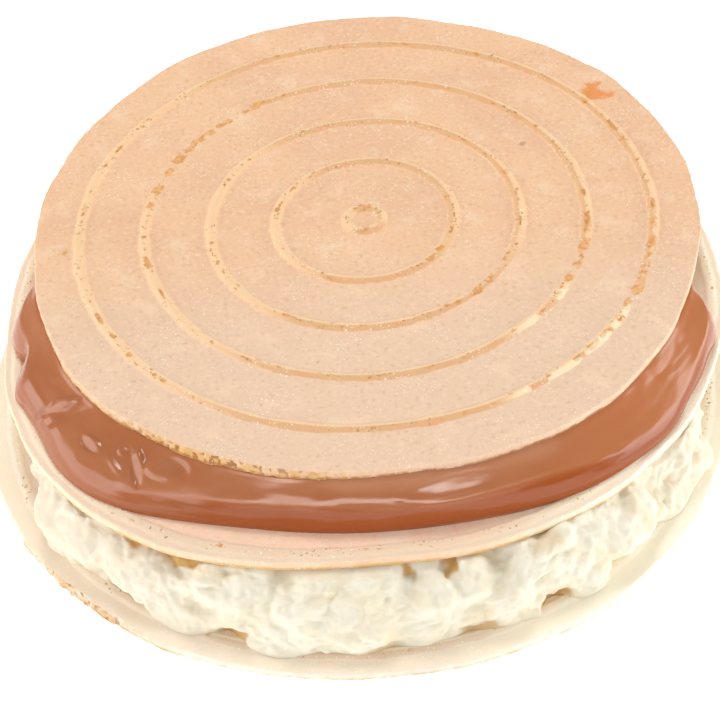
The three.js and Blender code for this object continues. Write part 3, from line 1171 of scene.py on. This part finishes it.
@dataclass(kw_only=True)
class Cream(Filling):
    """The whipped cream layer: heaps with creases between them, at several sizes, and gaps."""

    core: float
    core_blur: float = 28.8
    bulges: tuple[Fold, ...]
    gaps: tuple[Gap, ...]
    heap: float = 12.0 * MM
    heap_rise: float = 3.2 * MM
    lump: float = 4.6 * MM
    lump_rise: float = 1.9 * MM
    crag: float = 2.6 * MM
    crag_rise: float = 0.45 * MM
    grain: float = 1.2 * MM
    fluff: float = 0.27 * MM
    warp: float = 1.5 * MM
    foot_rows: int = 4

    def section(self) -> Grid:
        """Looks outwards and upwards from a ring inside the solid, and closes the side with a foot.

        Returns:
            Places by turn and row, from the axis below to the axis above.
        """
        solid, (low, high) = self.solid(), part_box(self.node)
        _, flat = compass(self.steps * (self.cuts + 1))
        inner = blurred(self.reach(solid, flat), self.core_blur) - self.core
        lifts = np.radians(np.interp(np.linspace(0.0, 1.0, self.rows), LIFT_ROWS, LIFT_ANGLES))
        starts = np.array(self.middle()) + flat * inner[:, None]
        ways = flat[:, None, :] * np.cos(lifts)[:, None] + UPWARDS * np.sin(lifts)[:, None]
        far = np.array([[solid.ray_cast(Vector(s), Vector(w))[3] for w in row] for s, row in zip(starts, ways)])
        side = starts[:, None, :] + ways * blurred(far, *self.soften)[..., None]
        side[..., 2] += self.rise * smooth(side[..., 2], low.z + 0.55 * (high.z - low.z), high.z - 0.2 * MM)
        bottom = low.z - self.sink
        shares = np.linspace(0.0, 1.0, self.foot_rows, endpoint=False)
        foot = np.repeat(side[:, :1], self.foot_rows, axis=1)
        foot[..., 2] = bottom + shares * (side[:, :1, 2] - bottom)
        foot -= flat[:, None, :] * (self.foot * 0.25 * (1.0 - shares) ** 2)[:, None]
        axis = np.zeros_like(inner)
        return np.concatenate((self.hoop(flat, axis, bottom), self.hoop(flat, inner, bottom), foot, side,
                               self.hoop(flat, axis, side[:, -1, 2].mean())), axis=1)

    def shaped(self, places: Grid) -> tuple[Grid, dict[str, Grid]]:
        """Gives the cream its heaps, crags, bulges and gaps, and the painted shade in the gaps.

        Args:
            places: Places by turn and row.

        Returns:
            The moved places, and the values that the finish reads.
        """
        free = np.zeros(places.shape[1])
        up = np.linspace(0.0, 1.0, len(free) - 3)
        free[2:-1] = smooth(up, 0.0, 0.06) * smooth(up, 1.0, 0.8)
        warp = np.stack([clouds(places, 6 * MM, 2, seed) for seed in (1.0, 2.0, 3.0)], axis=-1)
        warped = places + warp * self.warp
        lift = self.heap_rise * heaps(warped, self.heap, 1.0) + self.lump_rise * heaps(warped, self.lump, 3.0)
        lift += self.crag_rise * clouds(warped, self.crag, 2, 5.0) + self.fluff * clouds(places, self.grain, 2, 6.0)
        moved = places + outward(places) * (lift * free)[..., None]
        low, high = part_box(self.node)
        height = (places[..., 2] - low.z) / (high.z - low.z)
        flat = places[..., :2] - np.array(self.centre)
        radius, turn = polar(flat)
        away = flat / np.maximum(radius, MM)[..., None]
        swell = sum((bulge.lift(places, self.centre) for bulge in self.bulges), np.zeros_like(height))
        moved[..., :2] += away * (swell * (free * smooth(height, 0.95, 0.55)))[..., None]
        outer = smooth(radius - radius[:, 1:2], 0.25 * self.core, 0.6 * self.core)
        turn += 0.025 * clouds(places, 3 * MM, 2, 12.0)
        height += 0.08 * clouds(places, 4 * MM, 2, 14.0)
        tint = np.zeros_like(height)
        for gap in self.gaps:
            share = gap.where.share(turn) * outer
            depth = share * gap.band(height, GAP_REACH)
            if gap.level is Level.RIM:
                moved[..., 2] -= depth
                depth *= 0.4
            moved[..., :2] -= away * depth[..., None]
            # painted shade in the gaps
            tint = np.maximum(tint, share / gap.where.amount * (gap.shade * gap.band(height, GAP_SHADE)))
        return moved, {"hollow": np.clip(tint, 0.0, 1.0)}


@dataclass(frozen=True)
class Softbox:
    """A soft light: where it stands, its width, height and power, and whether it only shows in glossy surfaces."""

    name: str
    place: Place
    width: float
    height: float
    power: float
    gloss_only: bool = False


@dataclass
class Studio:
    """White table, soft lights and the camera."""

    aim: Place = (0.0, 0.0, 15 * MM)
    eye: Place = (0.548 * MM, -333.02 * MM, 338.0 * MM)
    elevation: float = 44.83
    roll: float = -4.868
    lens: float = 116.08
    sensor: float = 36.0
    nearest: float = 10 * MM
    sky: float = 0.36
    table_size: float = 20.0
    table_cells: int = 4
    table_drop: float = 0.05 * MM
    lights: tuple[Softbox, ...] = (
        Softbox("left_softbox", (-1.1, -0.1, 0.34), 1.2, 0.6, 7.2),
        Softbox("right_softbox", (1.1, -0.05, 0.24), 1.1, 0.42, 7.0),
        Softbox("overhead_softbox", (0.0, 0.35, 1.3), 0.4, 0.4, 5.8),
        Softbox("front_softbox", (0.0, -0.9, 0.9), 2.0, 0.6, 4.7),
        Softbox("front_reflector", (-0.12, -0.9, 0.9), 0.95, 0.5, 8.0, True),
        Softbox("low_front_reflector", (-0.85, -0.95, 0.55), 0.75, 0.5, 3.4, True),
    )

    def build(self, finish: TableFinish) -> None:
        """Sets up table, lights, sky and camera.

        Args:
            finish: Finish of the table.
        """
        self.table(finish)
        for light in self.lights:
            self.light(light)
        sky = bpy.data.worlds.new("studio_sky")
        sky.use_nodes = True
        sky.node_tree.nodes["Background"].inputs["Color"].default_value = (1.0, 1.0, 1.0, 1.0)
        sky.node_tree.nodes["Background"].inputs["Strength"].default_value = self.sky
        bpy.context.scene.world = sky
        bpy.context.scene.view_settings.view_transform = "Standard"
        self.camera()

    def table(self, finish: TableFinish) -> None:
        """Lays the table under the wafer.

        Args:
            finish: Finish of the table.
        """
        shape = bmesh.new()
        bmesh.ops.create_grid(shape, x_segments=self.table_cells, y_segments=self.table_cells,
                              size=self.table_size)
        bmesh.ops.translate(shape, verts=shape.verts, vec=(0.0, 0.0, -self.table_drop))
        mesh = bpy.data.meshes.new("table")
        shape.to_mesh(mesh)
        shape.free()
        made = bpy.data.objects.new("table", mesh)
        made.data.materials.append(finish.material("table_white"))
        bpy.context.scene.collection.objects.link(made)

    def light(self, box: Softbox) -> None:
        """Hangs one softbox and turns it to the wafer.

        Args:
            box: The softbox.
        """
        lamp = bpy.data.lights.new(box.name, "AREA")
        lamp.shape = "RECTANGLE"
        lamp.size = box.width
        lamp.size_y = box.height
        lamp.energy = box.power
        made = bpy.data.objects.new(box.name, lamp)
        made.location = box.place
        made.rotation_euler = (Vector(self.aim) - Vector(box.place)).to_track_quat("-Z", "Y").to_euler()
        made.visible_camera = False
        made.visible_diffuse = not box.gloss_only
        bpy.context.scene.collection.objects.link(made)

    def camera(self) -> None:
        """Puts the camera at the viewing angle."""
        rise, roll = math.radians(self.elevation), math.radians(self.roll)
        ahead = Vector((0.0, math.cos(rise), -math.sin(rise)))
        right, down = Vector(RIGHT), Vector((0.0, -math.sin(rise), -math.cos(rise)))
        cosine, sine = math.cos(roll), math.sin(roll)
        right, down = right * cosine - down * sine, right * sine + down * cosine
        lens = bpy.data.cameras.new("camera")
        lens.lens = self.lens
        lens.sensor_width = self.sensor
        lens.clip_start = self.nearest
        made = bpy.data.objects.new("camera", lens)
        turn = Matrix((right, -down, -ahead)).transposed().to_4x4()
        made.matrix_world = Matrix.Translation(Vector(self.eye)) @ turn
        bpy.context.scene.collection.objects.link(made)
        bpy.context.scene.camera = made


TOP_CENTRE = (3.9 * MM, 16.6 * MM)
MIDDLE_CENTRE = (1.3 * MM, 6.4 * MM)
BASE_CENTRE = (0.0, 0.0)

BASE_WAFER = Wafer(
    "base_wafer", "wafer_base", BASE_CENTRE, (ring(5),), ring(5) + 2.2 * MM, seed=3, pores=20, steps=144, cuts=4,
    ridge_height=0.5 * MM, rim_gold=0.06, foot_gold=0.35, pale_from=ring(5),
    crumbly_rim=(Stretch(-138.0, 14.0, 0.9), Stretch(-60.0, 30.0, 0.2)),
)

MIDDLE_WAFER = Wafer(
    "middle_wafer", "wafer_middle", MIDDLE_CENTRE, (69.2 * MM,), 50 * MM, seed=2, pores=20, steps=144, cuts=4,
    ridge_height=0.35 * MM, pale_from=67.5 * MM, crumbly_rim=(Stretch(-100.0, 40.0, 0.2),),
)

TOP_WAFER = Wafer(
    "top_wafer", "wafer_top", TOP_CENTRE, (3.3 * MM, ring(1), ring(2), ring(3), ring(4)), ring(4) + 2.2 * MM,
    # painted shadow along the lower edge of the rim, where it sits on the caramel
    seed=1, pores=60, rim_gold=0.12, foot_gold=0.3, shadow_line=0.9,
    crumbled=((0, Stretch(-95.0, 30.0, 0.6)), (0, Stretch(85.0, 25.0, 0.6)), (2, Stretch(-40.0, 22.0, 0.5)),
              (3, Stretch(136.0, 20.0, 0.55)), (3, Stretch(-24.0, 16.0, 0.35)),
              (4, Stretch(-24.0, 14.0, 0.45)), (4, Stretch(-46.0, 8.0, 0.3))),
    gone=((3, Stretch(138.0, 27.0, 0.9, 6)), (3, Stretch(-22.0, 7.0, 0.85, 6)),
          (4, Stretch(-25.0, 9.0, 0.85, 6)), (2, Stretch(-41.0, 18.0, 0.6, 4))),
    lit=((3, Stretch(-42.0, 13.0, 0.95)), (4, Stretch(-47.0, 20.0, 0.95, 4))),
    scars=((3, Stretch(-17.0, 13.0, 0.42, 4)), (4, Stretch(-17.0, 14.0, 0.42, 4))),
    crumbly_rim=(Stretch(-118.0, 20.0, 1.0), Stretch(-150.0, 10.0, 0.3)),
    worn=(Stretch(-103.0, 62.0, 1.5 * MM, 4), Stretch(-123.0, 9.0, 0.7 * MM)),
    spots=(Spot(34.0, 61.3 * MM, 3.2 * MM, srgb(236, 156, 90)), Spot(30.0, 38.9 * MM, 0.8 * MM, srgb(205, 165, 140)),
           Spot(-178.0, 60.3 * MM, 0.8 * MM, srgb(226, 170, 110))),
    pockets=(
        *pockets(1, (-47.4, 3.4, 1.1), (-38.8, 1.3, 1.1), (-35.8, 0.8, 0.8), (-20.0, 2.0, 0.7), (-4.2, 2.6, 0.5),
                 (15.3, 1.3, 0.8), (66.8, 1.3, 0.6), (141.0, 2.0, 0.8), (161.1, 3.6, 0.5)),
        *pockets(2, (-57.8, 2.8, 1.4), (-50.0, 3.6, 1.8), (-21.4, 1.0, 1.0), (-8.8, 4.8, 0.7), (3.3, 1.5, 0.7),
                 (13.2, 0.7, 0.6), (71.1, 1.0, 0.6), (98.7, 1.0, 0.6), (111.6, 2.0, 0.9), (150.2, 0.9, 0.8),
                 (-173.3, 1.3, 0.8)),
        *pockets(3, (117.5, 5.5, 2.2), (121.5, 3.0, 1.6), (129.8, 3.0, 1.4), (133.5, 3.0, 1.0), (138.2, 4.0, 1.6),
                 (143.2, 4.2, 2.0), (147.5, 5.0, 2.2), (153.0, 4.4, 2.2), (161.5, 4.2, 2.0), (166.9, 4.6, 1.8),
                 (180.3, 0.9, 0.9), (-170.1, 3.6, 1.1), (-157.0, 3.6, 0.5), (-37.1, 3.6, 1.4), (-30.1, 2.6, 1.3),
                 (-17.8, 2.6, 1.6), (-8.0, 5.0, 0.9), (2.9, 3.0, 0.9), (25.0, 1.3, 0.8)),
        *pockets(4, (44.0, 3.0, 0.5), (33.4, 2.8, 1.0), (23.1, 4.0, 0.9), (11.2, 1.1, 0.9), (6.1, 0.8, 0.8),
                 (-3.0, 6.0, 1.0), (-17.6, 2.8, 1.5), (-22.4, 3.0, 1.6), (-27.6, 4.0, 2.2), (-32.2, 3.0, 1.8),
                 (-41.4, 3.4, 1.2), (-45.5, 3.0, 1.2), (-49.7, 2.2, 0.9), (-134.7, 2.8, 0.9), (-144.8, 1.6, 1.0),
                 (-156.5, 5.0, 0.8), (-162.1, 0.9, 0.5), (173.5, 1.6, 0.5)),
    ),
)

# painted light: the base turns paler towards the right, where the right light falls strongly, and also a little
# paler towards the far left
BASE_BAKED = WaferFinish(
    face=srgb(247, 228, 212), blush=srgb(244, 222, 205), lit_pale=srgb(255, 247, 228), pale=srgb(240, 226, 204),
    ridge=srgb(239, 226, 203), freckle=srgb(220, 192, 158), slope=srgb(224, 199, 172), rosy_shade=srgb(228, 198, 170),
    dusky=srgb(224, 202, 178), golden=srgb(212, 178, 132), lit_side=RIGHT, lit_from=5 * MM, lit_to=48 * MM,
    lit_share=0.85, far_lit_share=0.15,
)

# painted light: the middle wafer turns paler towards the right, where the right light falls strongly, and also paler
# towards the far left
MIDDLE_BAKED = WaferFinish(
    face=srgb(252, 216, 186), blush=srgb(250, 212, 182), lit_pale=srgb(255, 245, 220), pale=srgb(248, 226, 200),
    ridge=srgb(236, 215, 188), freckle=srgb(226, 184, 146), slope=srgb(238, 212, 180), rosy_shade=srgb(240, 206, 174),
    dusky=srgb(232, 200, 172), lit_side=RIGHT, lit_from=15 * MM, lit_to=50 * MM, lit_share=0.7, far_lit_share=0.35,
)

CARAMEL = Caramel(
    name="caramel", node="caramel_filling", slot="caramel", coating="caramel_gloss", centre=MIDDLE_CENTRE,
    foot=1.4 * MM, sink=0.4 * MM, rise=0.4 * MM, steps=200, cuts=5, rows=74, soften=(3.0, 3.2), cover=TOP_WAFER,
    # where the painted reflection lies on the front slope
    sheen_stretch=Stretch(-82.0, 26.0, 1.0, 4),
    rounded=(Stretch(-90.0, 8.0, 1.0, 4), Stretch(-105.0, 5.5, 0.65, 4), Stretch(-124.0, 8.0, 0.65, 4)),
    lips=lips((-180.0, 6.2, 1.5), (-165.0, 5.8, 2.0), (-150.0, 5.0, 2.7), (-136.0, 5.0, 3.0), (-127.0, 5.4, 2.4),
              (-112.0, 6.0, 1.2), (-103.0, 6.6, 1.0), (-94.0, 6.8, 0.6), (-86.0, 6.8, -0.2), (-78.0, 6.4, -0.3),
              (-70.0, 6.6, 0.6), (-62.0, 6.6, 2.0), (-50.0, 4.6, 1.6), (-40.0, 3.4, 1.0), (-30.0, 3.4, 0.8),
              (-20.0, 6.0, 0.5), (-11.0, 7.0, 0.3), (60.0, 6.5, 1.0)),
    dents=(Stretch(-168.8, 1.7, -1.4 * MM), Stretch(-163.2, 3.6, 2.6 * MM), Stretch(179.0, 5.0, 1.0 * MM),
           Stretch(168.0, 6.0, -3.0 * MM, 6), Stretch(-2.5, 8.0, -4.0 * MM, 6)),
    folds=(
        Facet(-152.5, 66.0 * MM, 1.2 * MM, 4.0 * MM, 0.3 * MM, 35.0, 19.0, -146.0),
        Fold(-149.6, 65.6 * MM, 1.0 * MM, 3.6 * MM, -0.5 * MM, 35.0),
        Facet(-141.8, 66.2 * MM, 2.8 * MM, 1.2 * MM, 0.1 * MM, 0.0, 26.0, -146.0),
        Facet(-135.7, 63.6 * MM, 1.4 * MM, 1.1 * MM, 0.15 * MM, 0.0, 14.0, 10.0),
        Fold(-135.6, 66.6 * MM, 2.4 * MM, 0.6 * MM, 0.35 * MM, 15.0),
        Facet(-132.0, 64.6 * MM, 1.3 * MM, 3.0 * MM, 0.1 * MM, -40.0, 26.0, -150.0),
        Facet(-127.2, 62.6 * MM, 4.2 * MM, 2.0 * MM, 0.15 * MM, -12.0, 13.0, 10.0),
        Facet(-86.0, 61.0 * MM, 1.3 * MM, 1.4 * MM, 0.06 * MM, 0.0, 5.0, 90.0),
        Facet(-76.0, 61.8 * MM, 10.0 * MM, 1.8 * MM, 0.06 * MM, 4.0, 8.0, 98.0),
    ),
)

CREAM = Cream(
    name="cream", node="cream_filling", slot="cream", coating="whipped_cream", centre=BASE_CENTRE, core=17 * MM,
    foot=1.6 * MM, sink=0.4 * MM, rise=0.4 * MM, steps=192, cuts=5, rows=70, soften=(2.0, 1.0),
    bulges=(Fold(-149.0, 68 * MM, 7 * MM, 12 * MM, 3.0 * MM), Fold(-83.0, 66 * MM, 4 * MM, 6 * MM, 1.5 * MM)),
    gaps=(
        *gaps(Level.RIM, (-129.3, 2.6, 0.8, 4, 0.9), (-122.5, 3.6, 1.3, 4, 0.9), (-115.5, 2.0, 0.4, 4, 0.3),
              (-105.0, 2.2, 1.0, 4, 0.4), (-84.6, 1.3, 0.9, 4, 0.9), (-77.7, 1.3, 0.9, 4, 0.9),
              (-71.0, 3.6, 2.2, 4, 0.35), (-62.0, 3.0, 0.5, 4, 0.4)),
        *gaps(Level.SIDE, (-41.0, 2.2, 1.2, 2, 0.4), (-36.0, 2.0, 1.4, 2, 0.45), (-31.0, 1.6, 1.2, 2, 0.4)),
        *gaps(Level.FOOT, (-130.3, 3.0, 3.0, 4, 0.45), (-113.0, 2.6, 0.9, 4, 0.8), (-90.0, 3.0, 0.5, 2, 0.5),
              (-74.7, 4.0, 0.7, 4, 0.6), (-62.5, 2.2, 0.9, 4, 0.8), (-51.5, 1.2, 1.2, 2, 0.8),
              (-44.0, 4.0, 1.0, 4, 0.5)),
    ),
)

PARTS = (
    (BASE_WAFER, BASE_BAKED), (MIDDLE_WAFER, MIDDLE_BAKED), (TOP_WAFER, WaferFinish()),
    (CARAMEL, CaramelFinish()), (CREAM, CreamFinish()),
)


def main() -> None:
    """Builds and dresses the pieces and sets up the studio."""
    logging.basicConfig(level=logging.INFO, format="%(message)s")
    for part, finish in PARTS:
        made = part.build()
        part.dress(made, finish)
        LOG.info("%s: %d faces", made.name, len(made.data.polygons))
    Studio().build(TableFinish())


if __name__ == "__main__":
    main()
